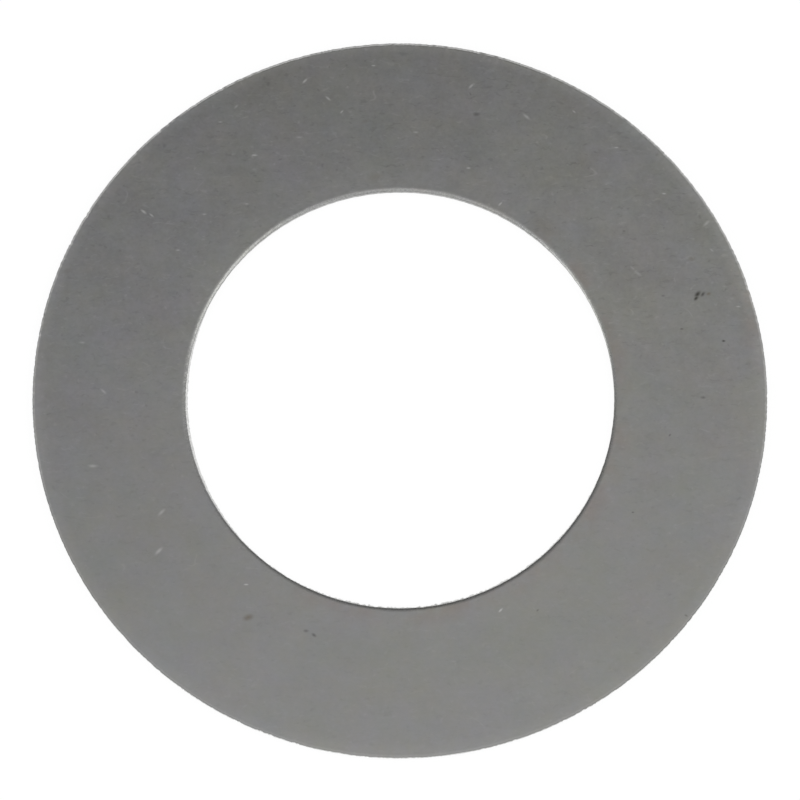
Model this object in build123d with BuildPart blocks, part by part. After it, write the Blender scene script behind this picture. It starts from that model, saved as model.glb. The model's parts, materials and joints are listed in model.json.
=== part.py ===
from build123d import *
import os

# A shim ring: one flat ring cut from thin cold-rolled steel strip. Lengths are in millimetres.
# The origin is on the bore's axis, in the lower face. +Z points along the axis and out of the
# upper face.

# Driving dimensions
outer_diameter = 13.9
bore_diameter = 8.1
thickness = 0.15

# The cut edges. The bore is pierced first and the ring is blanked out after it, both from above.
# Piercing draws the strip down into the bore before it shears, so the bore is rolled over at the
# upper face and torn at the lower one. Blanking pushes the ring down through its die, so the rim
# is rolled over at the lower face and torn at the upper one. Between the two zones of each edge
# lies the land, which is sheared clean and square to the faces. How large each zone is follows
# the strip's thickness, so these are shares of the thickness.
bore_roll_width_share = 0.62
bore_roll_depth_share = 0.28
rim_roll_width_share = 0.42
rim_roll_depth_share = 0.20
torn_height_share = 0.36
torn_lean_share = 0.05

bore_radius = bore_diameter / 2
outer_radius = outer_diameter / 2
torn_height = torn_height_share * thickness
torn_lean = torn_lean_share * thickness


def cut_edge(radius, into_metal, rolled_face, torn_face, roll_width, roll_depth):
    """Draws one cut edge's section, and returns its two ends: the rolled one and the torn one.

    into_metal is 1 where the metal lies outside the radius, and -1 where it lies inside.
    rolled_face and torn_face are the heights of the faces that the two zones meet.
    """
    cut_direction = 1 if torn_face > rolled_face else -1
    roll_centre = (radius + into_metal * roll_width, rolled_face + cut_direction * roll_depth)
    rolled_end = (roll_centre[0], rolled_face)
    land_start = (radius, roll_centre[1])
    land_end = (radius, torn_face - cut_direction * torn_height)
    torn_end = (radius + into_metal * torn_lean, torn_face)

    EllipticalCenterArc(
        roll_centre,
        x_radius=roll_width,
        y_radius=roll_depth,
        start_angle=-90 * cut_direction,
        arc_size=-90 * cut_direction * into_metal,
    )
    Polyline(land_start, land_end, torn_end)
    return rolled_end, torn_end


with BuildPart() as shim_ring:
    with BuildSketch(Plane.XZ) as section:
        with BuildLine():
            bore_rolled, bore_torn = cut_edge(
                bore_radius,
                into_metal=1,
                rolled_face=thickness,
                torn_face=0,
                roll_width=bore_roll_width_share * thickness,
                roll_depth=bore_roll_depth_share * thickness,
            )
            rim_rolled, rim_torn = cut_edge(
                outer_radius,
                into_metal=-1,
                rolled_face=0,
                torn_face=thickness,
                roll_width=rim_roll_width_share * thickness,
                roll_depth=rim_roll_depth_share * thickness,
            )
            Line(bore_rolled, rim_torn)
            Line(bore_torn, rim_rolled)
        make_face()
    revolve(axis=Axis.Z)

shim_ring.part.label = "shim_ring"

os.makedirs("parts", exist_ok=True)
export_step(shim_ring.part, "parts/shim_ring.step")
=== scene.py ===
import json
import math

import bpy
import numpy as np
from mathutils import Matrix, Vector


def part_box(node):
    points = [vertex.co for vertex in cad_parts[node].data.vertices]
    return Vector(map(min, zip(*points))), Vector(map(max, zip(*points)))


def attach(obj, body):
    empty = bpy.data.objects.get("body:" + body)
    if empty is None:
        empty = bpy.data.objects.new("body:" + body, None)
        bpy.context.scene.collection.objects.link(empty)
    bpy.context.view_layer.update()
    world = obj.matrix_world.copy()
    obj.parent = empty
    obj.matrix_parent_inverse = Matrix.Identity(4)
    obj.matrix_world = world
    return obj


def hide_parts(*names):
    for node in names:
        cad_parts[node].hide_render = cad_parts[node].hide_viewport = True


# The looks of a shim ring: one flat ring pierced and blanked from cold-rolled steel strip.
# The ring's surface is worked out in millimetres and put into its mesh in metres.

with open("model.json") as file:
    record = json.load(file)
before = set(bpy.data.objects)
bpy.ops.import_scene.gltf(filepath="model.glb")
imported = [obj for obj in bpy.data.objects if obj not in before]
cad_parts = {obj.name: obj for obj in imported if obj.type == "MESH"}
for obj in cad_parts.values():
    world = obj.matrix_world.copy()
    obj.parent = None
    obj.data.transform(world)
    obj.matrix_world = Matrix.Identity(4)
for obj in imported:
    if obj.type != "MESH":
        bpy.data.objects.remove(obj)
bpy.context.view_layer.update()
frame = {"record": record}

MM = 0.001


def mount(name):
    """The place and sizes, in millimetres, of one of the ring's mounts."""
    for entry in frame["record"]["mounts"]:
        if entry["name"] == name:
            sizes = entry["dims"]
            return {
                "radius": sizes.get("r_mm"),
                "length": sizes.get("length_mm"),
                "height": entry["pos_m"][2] / MM,
            }
    raise ValueError(name)


low_corner, high_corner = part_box("shim_ring")
bore_mount = mount("bore")
rim_mount = mount("rim")

THICKNESS = (high_corner.z - low_corner.z) / MM
RIM_RADIUS = min(high_corner.x, high_corner.y, -low_corner.x, -low_corner.y) / MM
BORE_RADIUS = bore_mount["radius"]
BORE_LAND_FOOT = bore_mount["height"] - bore_mount["length"] / 2
BORE_LAND_TOP = bore_mount["height"] + bore_mount["length"] / 2
RIM_LAND_FOOT = rim_mount["height"] - rim_mount["length"] / 2
RIM_LAND_TOP = rim_mount["height"] + rim_mount["length"] / 2
MEAN_RADIUS = (RIM_RADIUS + BORE_RADIUS) / 2

# ---------------------------------------------------------------------------------------------
# The ring's surface
# ---------------------------------------------------------------------------------------------

STATIONS = 1280
ZONES = ("torn_and_shade", "sheared", "rolled", "lip")
SHARP_ANGLE = math.radians(50)
angles = np.arange(STATIONS) * (2 * np.pi / STATIONS)

# The rollovers and the torn zones, as shares of the thickness
BORE_ROLL_WIDTH = 0.56 * THICKNESS
RIM_ROLL_WIDTH = 0.42 * THICKNESS
TORN_LEAN = 0.05 * THICKNESS

# How far the grain of the torn zones stands in and out, how far the lands' torn borders and the
# bore's wall stray, how deep the rim is nibbled, and how far the lower face stops short of the
# torn bore
TORN_ROUGH = 0.0009
BORE_LAND_STRAY = 0.010
RIM_LAND_STRAY = 0.018
BORE_STRAY = 0.0012
RIM_NIBBLE = 0.005
TORN_SETBACK = 0.002

# The shares by which the bore's rollover strays from its width, in long waves and in short ones
ROLL_SLOW_STRAY = 0.05
ROLL_FINE_STRAY = 0.01

# Blanking leaves a burnished crest at the rim's torn edge and a shallow furrow inside it. The
# crest's slope and the furrow's steep side end at these shares of the furrow's width, and a line
# of painted shade lies along the steep side's foot. The punch sat a little off centre, so all of
# this is strong about one direction and fades out away from it.
FURROW_WIDTH = 0.340
FURROW_DEPTH = 0.0048
CREST_SHARE = 0.035
STEEP_SHARE = 0.118
SHADE_LINE_SHARE = 0.026
CREST_DROP = 0.0018
FURROW_MIDDLE = math.radians(92)
FURROW_FADE = 2.4

# The crest is burnished wherever the furrow is more than faint, in proportion to its strength. The
# painted shade line in the furrow shows only where it is deep: its share is this gain times the
# furrow's strength, less where it starts from.
BURNISH_GAIN = 1.3
SHADE_LINE_GAIN = 2.2
SHADE_LINE_FROM = 1.2

# The torn tint darkens the rim's torn zone fully towards +X and -X and by this share towards +Y
# and -Y
LEAST_RIM_TORN_SHARE = 0.25

# The bore's rollover bends away from the face over this share of its width and then runs on
# nearly straight, and this share of its drop is a quarter circle's
BORE_BEND_SHARE = 0.58
BORE_ROUND_SHARE = 0.45

# Piercing leaves a thin lip at the foot of the bore, in two stretches of the way round. Each has
# its middle and its half width in degrees, its reach, and how ragged it is. From FULL_LIP on, the
# foot looks like lip and not like torn metal.
LIPS = [(196, 42, 0.062, 0.05), (278, 72, 0.058, 0.12)]
FULL_LIP = 0.02


def wander(shortest, longest, seed, rows=1, radius=MEAN_RADIUS):
    """Random lines that close on themselves round the ring, with mean 0 and spread 1.

    White noise is taken apart into whole-number waves, the waves whose length at the given
    radius lies between shortest and longest, in millimetres, are kept, and the rest is dropped.
    """
    noise = np.random.default_rng(seed).standard_normal((rows, STATIONS))
    waves = np.fft.rfft(noise, axis=1)
    count = np.maximum(np.arange(waves.shape[1]), 1)
    wave_length = 2 * np.pi * radius / count
    waves *= (wave_length > shortest) & (wave_length < longest)
    lines = np.fft.irfft(waves, STATIONS, axis=1)
    return lines / lines.std(axis=1, keepdims=True)


def spread(start, end, steps, ends=(True, True)):
    """Evenly spaced shares of the way from start to end, as a column, with or without its ends."""
    shares = np.linspace(start, end, steps + 1)
    shares = shares[0 if ends[0] else 1 : None if ends[1] else -1]
    return shares[:, None]


def torn_zone(radius, into_metal, land_end, face, seed, steps=9):
    """A torn zone from the end of its land to the face: a cone broken up by coarse grain.

    The radius leans into the metal in step with the share of the way from land to face, and the
    grain, random in both directions, is added on the metal's side of that cone. The land's end
    wanders up and down, so the border between the two is ragged.
    """
    share = spread(0, 1, steps)
    radius = radius + 0 * angles
    grain = np.abs(wander(0.035, 0.30, seed, steps + 1, RIM_RADIUS))
    grain = 0.5 * grain + 0.5 * np.roll(grain, 1, axis=0)
    hold = np.sin(np.pi * np.clip(share * 1.15, 0, 1)) ** 0.5
    hold[-1] = 0.45
    depth = TORN_LEAN * share + TORN_ROUGH * grain * hold
    height = land_end + (face - land_end) * share
    return radius + into_metal * depth, height


def land_edge(level, reach, seed, radius):
    """The height of a land's torn border round the ring: a level line with a ragged wander."""
    coarse = wander(0.6, 6.0, seed, 1, radius)[0]
    fine = wander(0.09, 0.45, seed + 1, 1, radius)[0]
    return level + reach * np.clip(0.5 * coarse + 0.6 * fine, -1.5, 1.5)


def bore_lip():
    """How far the lip at the foot of the bore reaches inwards: the larger of its stretches, each
    a reach that falls off as a power of a cosine from its middle, times a ragged line."""
    coarse = wander(0.5, 3.0, 71, 1, BORE_RADIUS)[0]
    fine = wander(0.06, 0.35, 72, 1, BORE_RADIUS)[0]
    lip = 0 * angles
    for middle, half_width, reach, ragged in LIPS:
        turn = angles - math.radians(middle)
        away = np.abs((turn + np.pi) % (2 * np.pi) - np.pi) / math.radians(half_width)
        hump = np.cos(np.clip(away, 0, 1) * np.pi / 2) ** 0.6
        line = 0.85 + ragged * (0.5 * coarse + fine)
        lip = np.maximum(lip, reach * hump * np.clip(line, 0.05, 1.25))
    return lip


def roll_drop(share):
    """How far a point of the bore's rollover lies below the face, from 0 to 1, by its share of
    the way to the bore: a parabola that runs on as a straight ramp, with some of a quarter
    circle's steep end mixed in."""
    bend = np.minimum(share, BORE_BEND_SHARE)
    ramp = (bend**2 / (2 * BORE_BEND_SHARE) + share - bend) / (1 - BORE_BEND_SHARE / 2)
    circle = 1 - np.sqrt(np.maximum(1 - share**2, 0))
    return (1 - BORE_ROUND_SHARE) * ramp + BORE_ROUND_SHARE * circle


def furrow_profile(across):
    """The furrow's depth from its crest inwards, from 0 to 1: a cosine down over the steep side
    and a longer cosine back up to the face."""
    down = np.clip((across - CREST_SHARE) / (STEEP_SHARE - CREST_SHARE), 0, 1)
    up = np.clip((1 - across) / (1 - STEEP_SHARE), 0, 1)
    return (1 - np.cos(np.pi * down)) / 2 * (1 - np.cos(np.pi * up)) / 2


def furrow_strength():
    """How deep the furrow inside the rim is, from 0 to 1: a power of a raised cosine about its
    middle direction, broken up by lines that wander."""
    heavy = (0.5 + 0.5 * np.cos(angles - FURROW_MIDDLE)) ** FURROW_FADE
    coarse = wander(0.9, 7.0, 61, 1, RIM_RADIUS)[0]
    fine = wander(0.10, 0.5, 62, 1, RIM_RADIUS)[0]
    return np.clip((0.88 + 0.26 * coarse + 0.30 * fine) * heavy + 0.06, 0.03, 1.2)


def flat_shares(steps):
    """Shares of the way across a flat face, without its start. The rows hard by both ends keep
    the shading of the zones beside it off the face."""
    inner = np.linspace(0, 1, steps - 1)[1:-1]
    return np.concatenate([[0.002], inner, [0.998, 1.0]])[:, None]


def ring_section():
    """The ring's closed section at every station round it: radii, heights and the zones' marks.

    The section runs outwards along the lower face, up the rim, inwards along the upper face and
    down the bore. Each zone is a row of points between two of the section's corners: straight
    lines on the faces and lands, a quarter ellipse on the rim's rollover, roll_drop's curve on
    the bore's, furrow_profile's inside the rim, and a broken cone on the torn zones. Every length
    that differs from place to place is a line that wanders round the ring. The marks say how much
    of each point is torn, sheared, rolled over or lip, from 0 to 1, and the torn mark also holds a
    line of painted shade along the foot of the furrow's steep side.
    """
    bore_foot = land_edge(BORE_LAND_FOOT, BORE_LAND_STRAY, 11, BORE_RADIUS)
    rim_top = land_edge(RIM_LAND_TOP, RIM_LAND_STRAY, 21, RIM_RADIUS)
    lip = bore_lip()
    lip_share = np.clip(lip / FULL_LIP, 0, 1)
    slow_stray = ROLL_SLOW_STRAY * wander(1.0, 9.0, 31)[0]
    fine_stray = ROLL_FINE_STRAY * wander(0.15, 0.6, 32)[0]
    bore_width = BORE_ROLL_WIDTH * (1 + (slow_stray + fine_stray))
    bore_radius = BORE_RADIUS + BORE_STRAY * wander(0.15, 0.7, 33, 1, BORE_RADIUS)[0]
    rim_radius = RIM_RADIUS - np.abs(RIM_NIBBLE * wander(0.10, 0.8, 34, 1, RIM_RADIUS)[0])
    furrow = furrow_strength()
    burnished = np.clip(BURNISH_GAIN * furrow, 0, 1)
    zones = []

    # The lower face
    share = np.vstack([[[0.0]], flat_shares(7)])
    inner = bore_radius + TORN_LEAN + TORN_SETBACK - lip
    outer = RIM_RADIUS - RIM_ROLL_WIDTH
    zones.append((inner + (outer - inner) * share, 0 * share, {}))

    # The rim: its rollover, its land and its torn zone
    turn = spread(0, np.pi / 2, 9, (False, True))
    radius = outer + (rim_radius - outer) * np.sin(turn)
    zones.append((radius, RIM_LAND_FOOT * (1 - np.cos(turn)), {"rolled": 1.0}))

    share = spread(0, 1, 3, (False, False))
    height = RIM_LAND_FOOT + (rim_top - RIM_LAND_FOOT) * share
    zones.append((rim_radius + 0 * share, height, {"sheared": 1.0}))

    radius, height = torn_zone(rim_radius, -1, rim_top, THICKNESS - CREST_DROP, 41)
    shine = (1 - spread(1, 0, len(radius) - 1) ** 0.5) * burnished
    rim_torn_share = LEAST_RIM_TORN_SHARE + (1 - LEAST_RIM_TORN_SHARE) * np.cos(angles) ** 2
    zones.append((radius, height, {"torn_and_shade": rim_torn_share * (1 - shine), "sheared": shine}))

    # The crest and the furrow inside the rim
    crest = radius[-1]
    steep = np.linspace(0, STEEP_SHARE, 8)[1:]
    gentle = STEEP_SHARE + (1 - STEEP_SHARE) * np.linspace(0, 1, 6)[1:] ** 1.7
    across = np.concatenate([steep, gentle])[:, None]
    crest_fall = CREST_DROP * np.clip(1 - across / CREST_SHARE, 0, 1) ** 2
    height = THICKNESS - crest_fall - FURROW_DEPTH * furrow_profile(across) * furrow
    # A line of painted shade along the foot of the furrow's steep side, carried in the torn mark
    # so that the torn tint darkens it
    painted_shade_line = np.exp(-(((across - STEEP_SHARE) / SHADE_LINE_SHARE) ** 2))
    painted_shade_line = painted_shade_line * np.clip(SHADE_LINE_GAIN * furrow - SHADE_LINE_FROM, 0, 1)
    shine = np.clip(1.6 * (1 - across / STEEP_SHARE), 0, 1) * burnished
    radius = crest - FURROW_WIDTH * across
    zones.append((radius, height, {"torn_and_shade": 0.8 * painted_shade_line, "sheared": shine}))

    # The upper face
    outer = radius[-1]
    inner = bore_radius + bore_width
    share = flat_shares(9)
    zones.append((outer + (inner - outer) * share, THICKNESS + 0 * share, {}))

    # The bore: its rollover, its land and its torn zone, with the lip at its foot
    share = np.sin(spread(0, np.pi / 2, 14, (False, True)))
    radius = bore_radius + bore_width * (1 - share)
    height = THICKNESS - (THICKNESS - BORE_LAND_TOP) * roll_drop(share)
    zones.append((radius, height, {"rolled": np.minimum(share / BORE_BEND_SHARE, 1)}))

    share = spread(0, 1, 3, (False, False))
    height = BORE_LAND_TOP + (bore_foot - BORE_LAND_TOP) * share
    zones.append((bore_radius + 0 * share, height, {"sheared": 1.0}))

    radius, height = torn_zone(bore_radius, 1, bore_foot, 0.0, 51)
    radius -= lip * spread(0, 1, len(radius) - 1) ** 0.8
    height = np.maximum(height, 0)
    zones.append((radius, height, {"torn_and_shade": 1 - lip_share, "lip": lip_share}))

    radii = np.vstack([radius for radius, _, _ in zones])
    heights = np.vstack([height + 0 * radius for radius, height, _ in zones])
    marks = {
        name: np.vstack([zone.get(name, 0.0) + 0 * radius for radius, _, zone in zones])
        for name in ZONES
    }
    return radii, heights, marks


def ring_mesh(name):
    """The section carried round the axis: x and y are the radius times cosine and sine of the
    station's angle, and the last point of the section and the last station join the first."""
    radii, heights, marks = ring_section()
    rows = len(radii)
    points = np.empty((rows, STATIONS, 3))
    points[..., 0] = radii * np.cos(angles)
    points[..., 1] = radii * np.sin(angles)
    points[..., 2] = heights
    points *= MM

    index = np.arange(rows * STATIONS).reshape(rows, STATIONS)
    beside = np.roll(index, -1, axis=1)
    above = np.roll(index, -1, axis=0)
    across = np.roll(above, -1, axis=1)
    quads = np.stack([index, beside, across, above], axis=-1).reshape(-1, 4)

    mesh = bpy.data.meshes.new(name)
    mesh.vertices.add(rows * STATIONS)
    mesh.vertices.foreach_set("co", points.ravel())
    mesh.loops.add(quads.size)
    mesh.loops.foreach_set("vertex_index", quads.ravel().astype(np.int32))
    mesh.polygons.add(len(quads))
    mesh.polygons.foreach_set("loop_start", np.arange(0, quads.size, 4, dtype=np.int32))
    mesh.update(calc_edges=True)
    mesh.validate()
    mesh.polygons.foreach_set("use_smooth", np.ones(len(quads), bool))
    mesh.set_sharp_from_angle(angle=SHARP_ANGLE)
    for zone, share in marks.items():
        layer = mesh.attributes.new(zone, "FLOAT", "POINT")
        layer.data.foreach_set("value", share.astype(np.float32).ravel())
    mesh.update()
    return mesh


ring_steel = bpy.data.objects.new("ring_steel", ring_mesh("ring_steel"))
bpy.context.scene.collection.objects.link(ring_steel)
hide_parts("shim_ring")
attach(ring_steel, "root")

# ---------------------------------------------------------------------------------------------
# Materials
# ---------------------------------------------------------------------------------------------


class Finish:
    """The nodes of a material or a world, and short ways to add more. A value that is handed in
    may be a number or another node's socket."""

    def __init__(self, owner, output="ShaderNodeOutputMaterial"):
        owner.use_nodes = True
        self.tree = owner.node_tree
        self.tree.nodes.clear()
        self.output = self.add(output)

    def add(self, kind, **settings):
        made = self.tree.nodes.new(kind)
        for key, value in settings.items():
            setattr(made, key, value)
        return made

    def join(self, value, socket):
        if isinstance(value, bpy.types.NodeSocket):
            self.tree.links.new(value, socket)
        else:
            socket.default_value = value

    def join_all(self, values, sockets):
        for value, socket in zip(values, sockets):
            self.join(value, socket)

    def maths(self, operation, *values, clamp=False):
        made = self.add("ShaderNodeMath", operation=operation, use_clamp=clamp)
        self.join_all(values, made.inputs)
        return made.outputs[0]

    def plus(self, first, second):
        return self.maths("ADD", first, second)

    def less(self, first, second):
        return self.maths("SUBTRACT", first, second)

    def times(self, first, second):
        return self.maths("MULTIPLY", first, second)

    def larger(self, first, second):
        return self.maths("MAXIMUM", first, second)

    def vector(self, operation, *values):
        made = self.add("ShaderNodeVectorMath", operation=operation)
        sockets = [made.inputs[0], made.inputs["Scale"]] if operation == "SCALE" else made.inputs
        self.join_all(values, sockets)
        return made.outputs["Value" if operation == "DISTANCE" else "Vector"]

    def place(self, source, scale=(1, 1, 1), turn=(0, 0, 0), move=(0, 0, 0)):
        made = self.add("ShaderNodeMapping")
        self.join(source, made.inputs["Vector"])
        made.inputs["Location"].default_value = move
        made.inputs["Rotation"].default_value = turn
        made.inputs["Scale"].default_value = scale
        return made.outputs[0]

    def axes(self, source):
        made = self.add("ShaderNodeSeparateXYZ")
        self.join(source, made.inputs[0])
        return made.outputs

    def noise(self, source, scale, detail, roughness, move=(0, 0, 0), turn=0.0, hues=False):
        """Noise whose grains are 1 / scale millimetres across. turn is about Z, in degrees."""
        made = self.add("ShaderNodeTexNoise")
        turn = (0, 0, math.radians(turn))
        self.join(self.place(source, scale, turn, move), made.inputs["Vector"])
        made.inputs["Scale"].default_value = 1.0
        made.inputs["Detail"].default_value = detail
        made.inputs["Roughness"].default_value = roughness
        return made.outputs["Color" if hues else "Fac"]

    def ramp(self, value, low, high, to_low=0.0, to_high=1.0, smooth=True):
        """A value carried from the range low to high over to the range to_low to to_high."""
        made = self.add("ShaderNodeMapRange")
        made.interpolation_type = "SMOOTHSTEP" if smooth else "LINEAR"
        ends = ("Value", "From Min", "From Max", "To Min", "To Max")
        sockets = [made.inputs[end] for end in ends]
        self.join_all((value, low, high, to_low, to_high), sockets)
        return made.outputs[0]

    def blend(self, share, first, second, kind="MIX"):
        made = self.add("ShaderNodeMix", data_type="RGBA", blend_type=kind)
        sockets = (made.inputs["Factor"], made.inputs[6], made.inputs[7])
        self.join_all((share, first, second), sockets)
        return made.outputs[2]

    def tint(self, share, first, second):
        return self.blend(share, first, second, "MULTIPLY")

    def marks(self, name):
        return self.add("ShaderNodeAttribute", attribute_name=name).outputs["Fac"]

    def bump(self, height, distance, below=None):
        made = self.add("ShaderNodeBump")
        self.join(height, made.inputs["Height"])
        made.inputs["Distance"].default_value = distance
        if below is not None:
            self.join(below, made.inputs["Normal"])
        return made.outputs["Normal"]

    def glow(self, strength):
        made = self.add("ShaderNodeEmission")
        self.join(strength, made.inputs["Strength"])
        return made.outputs[0]

    def mix(self, share, first, second):
        made = self.add("ShaderNodeMixShader")
        self.join_all((share, first, second), made.inputs)
        return made.outputs[0]

    def seen(self):
        """1 where a ray comes straight, off metal or through glass, and 0 for other light."""
        rays = self.add("ShaderNodeLightPath").outputs
        bright = self.larger(rays["Is Camera Ray"], rays["Is Glossy Ray"])
        return self.larger(bright, rays["Is Transmission Ray"])


# The flat steel's base reflectance, how strong each part of its texture is, and how much of that
# strength is left at the -Y side and reached at the +Y side
STEEL = 0.231
MOTTLE = 0.38
LINES = 0.072
SPECKS = 0.11
SCRATCHES = 0.13
FAINT_TEXTURE = 0.62
STRONG_TEXTURE = 1.45

# Faint hues drift over the face: red, green and blue each have a share that never changes and a
# share that a noise adds. Blue also falls off towards +X, which turns the steel a little yellow.
HUE_STEADY = (0.945, 0.970, 0.860)
HUE_DRIFT = (0.11, 0.06, 0.28)
BLUE_AT_MINUS_X = 0.992
BLUE_AT_PLUS_X = 0.962

# How much lighter handling rubs the flat steel at the rim and at the bore
RIM_RUB = 0.12
BORE_RUB = 0.045

# The colours that lie over the steel's own, and how much of it they cover
ROLLED_COLOUR = (0.46, 0.46, 0.45, 1)
SHEARED_COLOUR = (0.62, 0.62, 0.61, 1)
LIP_COLOUR = (0.70, 0.70, 0.69, 1)
NICK_COLOUR = (0.54, 0.54, 0.53, 1)
ROLLED_COVER = 0.10
SHEARED_COVER = 0.92
LIP_COVER = 0.90
NICK_COVER = 0.66

# The tints that the steel's own colour is multiplied by, and how fully it is where torn. The torn
# tint also paints shade in a line along the foot of the furrow inside the rim.
TORN_AND_SHADE_TINT = (0.58, 0.58, 0.57, 1)
RUST_TINT = (0.990, 0.930, 0.910, 1)
PIT_TINT = (0.26, 0.25, 0.23, 1)
STAIN_TINT = (0.74, 0.67, 0.59, 1)
TORN_AND_SHADE_COVER = 0.90

# The range of tones that the fine grain of the cut edges runs through
EDGE_DARK = 0.80
EDGE_LIGHT = 1.20

# The range of the faces' roughness, and what the zones add to it or take from it
LEAST_ROUGHNESS = 0.37
GREATEST_ROUGHNESS = 0.41
TORN_ROUGHER = 0.20
SHEARED_SMOOTHER = 0.12
ROLLED_SMOOTHER = 0.12

# How deep the relief of the faces and of the cut edges is, in millimetres, and how much of the
# latter the lines down the lands have
FACE_RELIEF = 0.0007
EDGE_RELIEF = 0.002
LAND_LINES = 0.35

# Nicks, pits and stains that handling left on the upper face, by the way they run, in degrees from
# +X. Each is x and y in millimetres, its half length, and how strong it is.
NICKS = {
    0: [
        (-0.5, 6.5, 0.060, 1.0),
        (-2.75, 4.75, 0.080, 0.9),
        (-3.4, 5.4, 0.060, 0.6),
        (-3.7, 3.6, 0.065, 0.6),
        (-2.9, 3.8, 0.060, 0.6),
        (-4.2, 2.9, 0.065, 0.6),
        (6.4, 1.8, 0.065, 0.6),
        (1.3, 4.5, 0.065, 0.8),
        (5.0, 4.0, 0.060, 0.9),
        (4.1, 4.9, 0.060, 0.8),
        (-2.9, -3.6, 0.065, 0.9),
        (-5.8, -1.3, 0.130, 0.5),
        (-6.0, 1.1, 0.090, 0.4),
        (0.3, 5.2, 0.080, 0.5),
        (-1.9, 5.1, 0.090, 0.4),
    ],
    45: [
        (-1.8, 6.2, 0.090, 1.0),
        (-1.1, 5.6, 0.060, 0.9),
        (1.35, 6.1, 0.100, 0.8),
        (1.9, 3.8, 0.070, 1.0),
        (5.8, 3.42, 0.125, 0.5),
        (1.9, -4.1, 0.075, 1.0),
        (-4.55, -2.95, 0.140, 0.6),
        (-4.5, -2.2, 0.130, 0.5),
        (-3.1, 5.7, 0.080, 0.5),
    ],
    -40: [
        (-1.36, 5.86, 0.090, 0.8),
        (-4.85, 3.65, 0.100, 0.9),
        (-4.70, 3.58, 0.080, 0.8),
        (2.4, 5.5, 0.120, 0.6),
        (3.3, 5.6, 0.060, 0.7),
        (4.5, 2.45, 0.130, 0.3),
        (4.4, 2.55, 0.080, 0.3),
        (5.9, 2.9, 0.070, 0.5),
        (-5.6, 0.15, 0.100, 0.5),
    ],
}
PITS = {
    0: [
        (5.33, 1.365, 0.050, 0.6),
        (6.12, 1.13, 0.050, 1.0),
        (4.40, -2.20, 0.040, 0.6),
        (-1.77, -4.50, 0.075, 0.5),
        (1.45, 5.55, 0.100, 0.5),
        (5.73, 0.03, 0.070, 0.5),
        (4.98, 2.01, 0.050, 0.4),
        (4.24, 3.27, 0.050, 0.4),
    ],
    50: [
        (5.63, 2.04, 0.110, 1.0),
        (5.60, 1.96, 0.080, 1.0),
        (5.73, 2.04, 0.080, 0.8),
        (5.10, -0.70, 0.045, 0.6),
        (2.60, -4.10, 0.045, 0.5),
    ],
    -35: [
        (-1.62, -4.58, 0.075, 0.6),
        (5.40, -4.20, 0.050, 0.5),
    ],
}
STAINS = {
    20: [
        (-2.86, -4.24, 0.150, 1.0),
        (5.84, 2.05, 0.075, 0.9),
        (5.52, 2.73, 0.120, 0.35),
        (2.74, 6.22, 0.140, 0.3),
        (-6.28, 2.50, 0.140, 0.3),
        (-0.66, 5.41, 0.110, 0.3),
        (-0.47, 4.32, 0.250, 0.3),
    ],
    -35: [
        (2.75, 3.35, 0.600, 0.25),
    ],
}

# How many times longer than wide a nick is, and a pit or stain
NICK_SLENDERNESS = 2.8
MARK_SLENDERNESS = 1.7


def spots(finish, place, groups, slenderness=MARK_SLENDERNESS):
    """One value that is 1 in the middle of each listed mark and fades to 0 at its border.

    For each direction the face is turned till that direction lies along X and stretched across
    it, so a mark is a circle there, and the value falls with the distance to its middle.
    """
    total = 0.0
    for turn, entries in groups.items():
        angle = math.radians(-turn)
        turned = finish.place(place, scale=(1, 1, 0), turn=(0, 0, angle))
        turned = finish.vector("MULTIPLY", turned, (1, slenderness, 1))
        for x, y, reach, strength in entries:
            middle_x = x * math.cos(angle) - y * math.sin(angle)
            middle_y = (x * math.sin(angle) + y * math.cos(angle)) * slenderness
            away = finish.vector("DISTANCE", turned, (middle_x, middle_y, 0))
            mark = finish.ramp(away, reach, 0.0, 0.0, strength)
            total = finish.larger(total, mark)
    return total


def specks(finish, shaken):
    """Scattered specks, 1 in a light one and -1 in a dark one: the plane is cut into cells, and
    the cells whose random number is high or low have a speck about their middle."""
    cells_per_mm = (3.6, 5.2, 1)
    least_size, greatest_size = 0.08, 0.20
    light_above, dark_below = 0.80, 0.22
    cells = finish.add("ShaderNodeTexVoronoi", voronoi_dimensions="2D")
    finish.join(finish.place(shaken, cells_per_mm, (0, 0, 0.35)), cells.inputs["Vector"])
    cells.inputs["Scale"].default_value = 1.0
    parts = finish.add("ShaderNodeSeparateColor")
    finish.join(cells.outputs["Color"], parts.inputs[0])
    size = finish.ramp(parts.outputs["Green"], 0.0, 1.0, least_size, greatest_size, smooth=False)
    near = finish.ramp(cells.outputs["Distance"], size, 0.0)
    chance = parts.outputs["Red"]
    light = finish.maths("GREATER_THAN", chance, light_above)
    dark = finish.maths("LESS_THAN", chance, dark_below)
    return finish.times(near, finish.less(light, dark))


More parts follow.
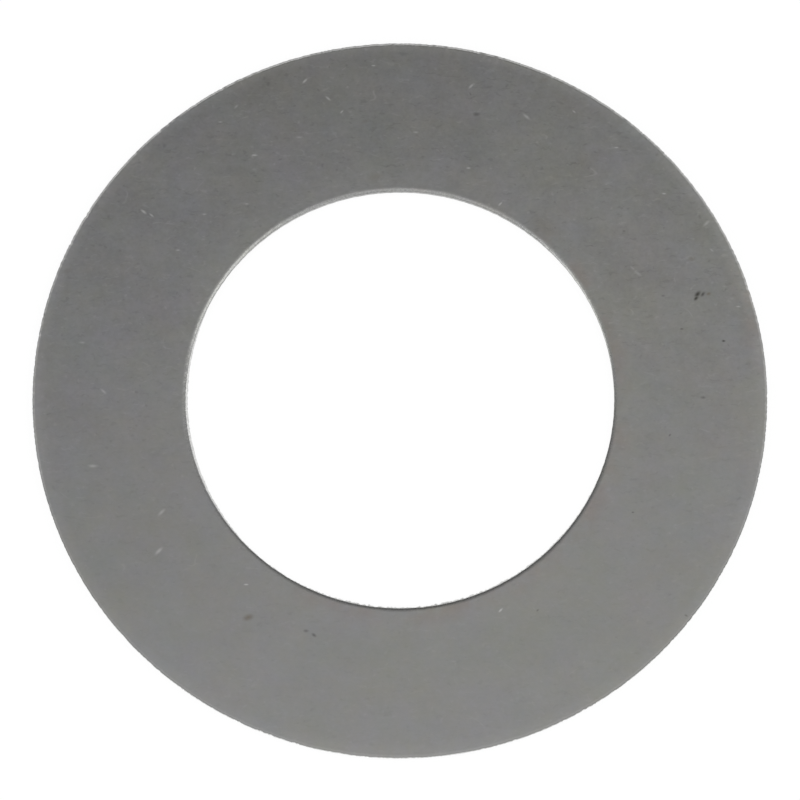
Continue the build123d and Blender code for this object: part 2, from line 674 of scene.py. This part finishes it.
def worn_texture(finish, place):
    """How light the flat steel is from place to place, as a value about 0.

    A mottle with grains of every size from a millimetre down, short wavy rolling lines along X,
    light and dark specks, and fine scratches, which are thin contour lines of a smooth noise cut
    into short lengths by another.
    """
    wobble = finish.noise(place, (9, 9, 9), 1.0, 0.5, hues=True)
    shaken = finish.vector("MULTIPLY_ADD", wobble, (0.12, 0.12, 0), place)
    mottle = finish.noise(place, (1.3, 1.55, 1.55), 4.5, 1.0)
    lines = finish.noise(shaken, (4.2, 16, 16), 2.0, 0.6, turn=2)
    bends = finish.noise(place, (0.7, 1.3, 1.3), 1.0, 0.5, move=(3, 1, 8))
    gate = finish.noise(place, (3.6, 3.6, 3.6), 1.0, 0.5, move=(7, 2, 4))

    texture = finish.ramp(mottle, 0.0, 1.0, -0.5 * MOTTLE, 0.5 * MOTTLE, smooth=False)
    painted_shade_line = finish.ramp(lines, 0.62, 0.69)
    light_line = finish.ramp(lines, 0.37, 0.30)
    texture = finish.less(texture, finish.times(finish.less(painted_shade_line, light_line), LINES))
    texture = finish.plus(texture, finish.times(specks(finish, shaken), SPECKS))
    off_contour = finish.maths("ABSOLUTE", finish.less(bends, 0.5))
    scratch = finish.times(finish.ramp(off_contour, 0.006, 0.0), finish.ramp(gate, 0.60, 0.68))
    return finish.plus(texture, finish.times(scratch, SCRATCHES))


def rubbed_edges(finish, distance):
    """How much lighter the flat steel is where handling rubs it, beside the rim and the bore."""
    rim = finish.ramp(distance, RIM_RADIUS - 0.30, RIM_RADIUS - 0.02, 0.0, RIM_RUB)
    bore = finish.ramp(distance, BORE_RADIUS + 0.90, BORE_RADIUS + 0.05, 0.0, BORE_RUB)
    return finish.plus(rim, bore)


def rust_film(finish, place, axes, distance):
    """How brown the face is: a thin film in patches, which lies in a band beside the bore on its
    +X and -Y sides, and in another beside the rim at +X."""
    cloud = finish.noise(place, (1.6, 1.6, 1.6), 3.0, 0.6, move=(2, 6, 3))
    patches = finish.ramp(cloud, 0.38, 0.62)
    side = finish.ramp(finish.less(finish.times(axes["X"], 1.6), axes["Y"]), -1.6, 2.4)
    bore = finish.ramp(distance, BORE_RADIUS + 0.50, BORE_RADIUS + 0.08)
    rim = finish.ramp(distance, RIM_RADIUS - 0.50, RIM_RADIUS - 0.10)
    rim = finish.times(rim, finish.ramp(axes["X"], 6.0, 6.4))
    rim = finish.times(rim, finish.ramp(axes["Y"], 0.3, 1.0))
    near = finish.larger(finish.times(bore, side), rim)
    return finish.times(near, patches)


def steel_finish():
    """Matt cold-rolled steel: a mottled grey with fine rolling lines along X, specks and marks,
    burnished rollovers, drawn lines down the sheared lands, coarse dark grain where torn, and a
    line of painted shade along the foot of the furrow inside the rim."""
    material = bpy.data.materials.new("cold_rolled_steel")
    finish = Finish(material)
    body = finish.add("ShaderNodeBsdfPrincipled")
    finish.join(body.outputs[0], finish.output.inputs["Surface"])
    body.inputs["Metallic"].default_value = 1.0

    metres = finish.add("ShaderNodeTexCoord").outputs["Object"]
    place = finish.place(metres, scale=(1 / MM, 1 / MM, 1 / MM))
    axes = finish.axes(place)
    torn_and_shade, sheared, rolled, lip = (finish.marks(name) for name in ZONES)
    edge = finish.maths("ADD", finish.plus(torn_and_shade, sheared), rolled, clamp=True)
    edge = finish.larger(edge, lip)
    flat = finish.less(1.0, edge)
    grain = finish.noise(place, (17, 24, 24), 3.0, 0.62)
    crumbs = finish.noise(place, (36, 36, 36), 3.0, 0.65)

    # Tone: how much lighter or darker than its plain colour the metal is
    strength = finish.ramp(axes["Y"], -4.5, 4.5, FAINT_TEXTURE, STRONG_TEXTURE)
    distance = finish.vector("DISTANCE", finish.vector("MULTIPLY", place, (1, 1, 0)), (0, 0, 0))
    texture = finish.plus(worn_texture(finish, place), rubbed_edges(finish, distance))
    tone = finish.plus(finish.times(texture, strength), 1.0)
    edge_tone = finish.ramp(crumbs, 0.30, 0.70, EDGE_DARK, EDGE_LIGHT)
    tone = finish.plus(finish.times(tone, flat), finish.times(edge_tone, edge))

    # Colour: the plain steel, its faint hues, what each zone does to it, its rust and its tone
    hues = finish.noise(place, (0.75, 0.75, 0.75), 4.0, 0.8, move=(5, 9, 1), hues=True)
    hues = finish.vector("MULTIPLY_ADD", hues, HUE_DRIFT, HUE_STEADY)
    yellow = finish.ramp(axes["X"], -6.0, 6.0, BLUE_AT_MINUS_X, BLUE_AT_PLUS_X, smooth=False)
    steel = finish.add("ShaderNodeCombineColor")
    finish.join_all((STEEL, STEEL, finish.times(yellow, STEEL)), steel.inputs)
    colour = finish.vector("MULTIPLY", steel.outputs[0], hues)
    colour = finish.blend(finish.times(rolled, ROLLED_COVER), colour, ROLLED_COLOUR)
    colour = finish.blend(finish.times(sheared, SHEARED_COVER), colour, SHEARED_COLOUR)
    colour = finish.blend(finish.times(lip, LIP_COVER), colour, LIP_COLOUR)
    # Torn metal is darker, and the same tint paints shade in a line along the foot of the furrow
    # inside the rim
    colour = finish.tint(finish.times(torn_and_shade, TORN_AND_SHADE_COVER), colour, TORN_AND_SHADE_TINT)
    rust = finish.times(rust_film(finish, place, axes, distance), flat)
    colour = finish.tint(rust, colour, RUST_TINT)
    colour = finish.vector("SCALE", colour, tone)

    # The marks on the upper face
    upper = finish.times(finish.ramp(axes["Z"], 0.0, THICKNESS), flat)
    nick = finish.times(spots(finish, place, NICKS, NICK_SLENDERNESS), upper)
    pit = finish.times(spots(finish, place, PITS), upper)
    stain = finish.times(spots(finish, place, STAINS), upper)
    colour = finish.tint(pit, colour, PIT_TINT)
    colour = finish.tint(stain, colour, STAIN_TINT)
    colour = finish.blend(finish.times(nick, NICK_COVER), colour, NICK_COLOUR)
    finish.join(colour, body.inputs["Base Color"])

    # Roughness: coarser where torn, and smoother where sheared or rolled over
    rough = finish.ramp(grain, 0.25, 0.75, LEAST_ROUGHNESS, GREATEST_ROUGHNESS)
    rough = finish.plus(rough, finish.times(torn_and_shade, TORN_ROUGHER))
    rough = finish.less(rough, finish.times(sheared, SHEARED_SMOOTHER))
    rough = finish.less(rough, finish.times(rolled, ROLLED_SMOOTHER))
    finish.join(rough, body.inputs["Roughness"])

    # Relief: fine grain all over, drawn lines up and down the lands, and crumbs where torn
    drawn = finish.noise(place, (60, 60, 3), 2.0, 0.6)
    fine_relief = finish.bump(grain, FACE_RELIEF * MM)
    edge_height = finish.times(finish.times(drawn, sheared), LAND_LINES)
    edge_height = finish.plus(edge_height, finish.times(crumbs, torn_and_shade))
    edge_relief = finish.bump(edge_height, EDGE_RELIEF * MM, fine_relief)
    finish.join(edge_relief, body.inputs["Normal"])
    return material


ring_steel.data.materials.append(steel_finish())


def floor_finish():
    """White card. Seen straight or in the metal it glows nearly white, and a share of it is a
    plain matt surface, so the ring's shadow still falls on it. From below it is clear."""
    material = bpy.data.materials.new("white_card")
    finish = Finish(material)
    matt = finish.add("ShaderNodeBsdfDiffuse")
    matt.inputs["Color"].default_value = FLOOR_WHITE
    glowing = finish.times(finish.seen(), FLOOR_GLOW)
    card_face = finish.mix(glowing, matt.outputs[0], finish.glow(1.0))
    clear = finish.add("ShaderNodeBsdfTransparent")
    from_below = finish.add("ShaderNodeNewGeometry").outputs["Backfacing"]
    surface = finish.mix(from_below, card_face, clear.outputs[0])
    finish.join(surface, finish.output.inputs["Surface"])
    return material


# The floor lies a hair under the ring, so that the ring's underside stays clear of it
FLOOR_HALF = 0.6
FLOOR_GAP = 0.002 * MM
FLOOR_WHITE = (0.90, 0.90, 0.90, 1)
FLOOR_GLOW = 0.93

floor_height = low_corner.z - FLOOR_GAP
floor_mesh = bpy.data.meshes.new("floor")
floor_mesh.from_pydata(
    [
        (-FLOOR_HALF, -FLOOR_HALF, floor_height),
        (FLOOR_HALF, -FLOOR_HALF, floor_height),
        (FLOOR_HALF, FLOOR_HALF, floor_height),
        (-FLOOR_HALF, FLOOR_HALF, floor_height),
    ],
    [],
    [(0, 1, 2, 3)],
)
floor = bpy.data.objects.new("floor", floor_mesh)
floor.data.materials.append(floor_finish())
bpy.context.scene.collection.objects.link(floor)

# ---------------------------------------------------------------------------------------------
# Light and camera
# ---------------------------------------------------------------------------------------------

# How bright the room is as light, where it is 1 to look at
ROOM_LIGHT = 0.95

# The view looks down on the ring's middle from the front, this far above level
CAMERA_RISE = math.radians(76.4)
CAMERA_DISTANCE = 0.6
SEEN_WIDTH = 15.12 * MM
SENSOR_WIDTH = 36

middle = tuple((a + b) / 2 for a, b in zip(low_corner, high_corner))


def white_room():
    """White where it is seen straight or in the metal, and a soft light, a little less bright,
    for everything else."""
    world = bpy.data.worlds.new("white_room")
    finish = Finish(world, "ShaderNodeOutputWorld")
    background = finish.add("ShaderNodeBackground")
    background.inputs["Color"].default_value = (1, 1, 1, 1)
    strength = finish.ramp(finish.seen(), 0.0, 1.0, ROOM_LIGHT, 1.0, smooth=False)
    finish.join(strength, background.inputs["Strength"])
    finish.join(background.outputs[0], finish.output.inputs["Surface"])
    return world


def facing(place, aim):
    """The turn that points a lamp's or a camera's -Z axis from its place to its aim, with its +Y
    axis kept up."""
    return Vector(np.subtract(aim, place)).to_track_quat("-Z", "Y").to_euler()


def lamp(name, place, size, power):
    """A soft square lamp that faces the ring's middle. place and size are in metres, and power
    is in watts."""
    data = bpy.data.lights.new(name, "AREA")
    data.shape = "SQUARE"
    data.size = size
    data.energy = power
    made = bpy.data.objects.new(name, data)
    made.location = place
    made.rotation_euler = facing(place, middle)
    made.visible_camera = False
    bpy.context.scene.collection.objects.link(made)


def card(name, foot, head, turn, half_width, grey_foot, grey_head):
    """A card held beside the ring, which only the metal sees. foot and head are how far along Y
    and how high its lower and upper edges are, before it turns about Z by turn degrees, and its
    grey runs from one edge to the other. Lengths are in metres."""
    (foot_y, foot_z), (head_y, head_z) = foot, head
    corners = [
        (-half_width, foot_y, foot_z),
        (half_width, foot_y, foot_z),
        (half_width, head_y, head_z),
        (-half_width, head_y, head_z),
    ]
    mesh = bpy.data.meshes.new(name)
    mesh.from_pydata(corners, [], [(0, 1, 2, 3)])
    material = bpy.data.materials.new(name)
    finish = Finish(material)
    height = finish.axes(finish.add("ShaderNodeTexCoord").outputs["Object"])["Z"]
    grey = finish.ramp(height, foot_z, head_z, grey_foot, grey_head, smooth=False)
    finish.join(finish.glow(grey), finish.output.inputs["Surface"])
    mesh.materials.append(material)
    made = bpy.data.objects.new(name, mesh)
    made.rotation_euler[2] = math.radians(turn)
    made.visible_camera = False
    made.visible_diffuse = False
    made.visible_shadow = False
    bpy.context.scene.collection.objects.link(made)


bpy.context.scene.world = white_room()

# Each lamp's place, its width and its power
lamp("key_lamp", (0.055, -0.080, 0.055), 0.055, 0.005)
lamp("side_lamp", (0.075, -0.010, 0.060), 0.085, 0.031)
lamp("fill_lamp", (-0.012, -0.034, 0.046), 0.044, 0.0023)
lamp("left_lamp", (-0.075, -0.020, 0.034), 0.060, 0.020)

# The face mirrors these, and they give it its slow change of tone
card("graded_card", (0.024, 0.001), (-0.006, 0.022), 14, 0.030, 0.00, 1.170)
card("low_card", (0.032, 0.001), (0.024, 0.024), -52, 0.018, 0.85, 0.85)

camera_data = bpy.data.cameras.new("camera")
camera_data.sensor_width = SENSOR_WIDTH
camera_data.lens = SENSOR_WIDTH * CAMERA_DISTANCE / SEEN_WIDTH
camera_data.clip_start = 0.01
camera_data.clip_end = 5
camera = bpy.data.objects.new("camera", camera_data)
camera.location = (
    middle[0],
    middle[1] - CAMERA_DISTANCE * math.cos(CAMERA_RISE),
    middle[2] + CAMERA_DISTANCE * math.sin(CAMERA_RISE),
)
camera.rotation_euler = facing(camera.location, middle)
bpy.context.scene.collection.objects.link(camera)
bpy.context.scene.camera = camera
bpy.context.scene.view_settings.view_transform = "Standard"
